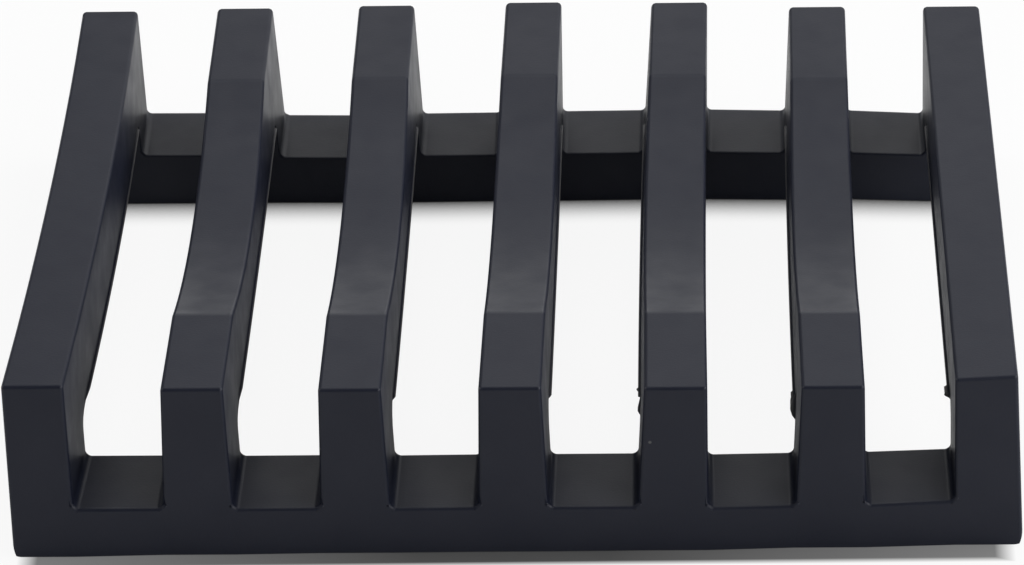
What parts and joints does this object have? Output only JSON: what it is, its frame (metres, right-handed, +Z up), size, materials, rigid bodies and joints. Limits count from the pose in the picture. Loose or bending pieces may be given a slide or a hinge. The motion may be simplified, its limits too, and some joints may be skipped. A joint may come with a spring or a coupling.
{
  "type": "soap dish",
  "caption": "Soft slatted soap dish: upright slats on two cross rails hold a bar of soap in a shallow dip and let it drain.",
  "frame": {"origin": "on the surface that the dish stands on, under the middle of its box", "axes": "+X across the slats, +Y along the slats from the front rail to the rear rail, +Z up"},
  "size_m": [0.115, 0.09, 0.0222],
  "materials": {
    "silicone": "matte, charcoal black"
  },
  "bodies": {
    "root": {"front_rail": "silicone", "rear_rail": "silicone", "slat_1": "silicone", "slat_2": "silicone", "slat_3": "silicone", "slat_4": "silicone", "slat_5": "silicone", "slat_6": "silicone", "slat_7": "silicone"}
  },
  "joints": []
}
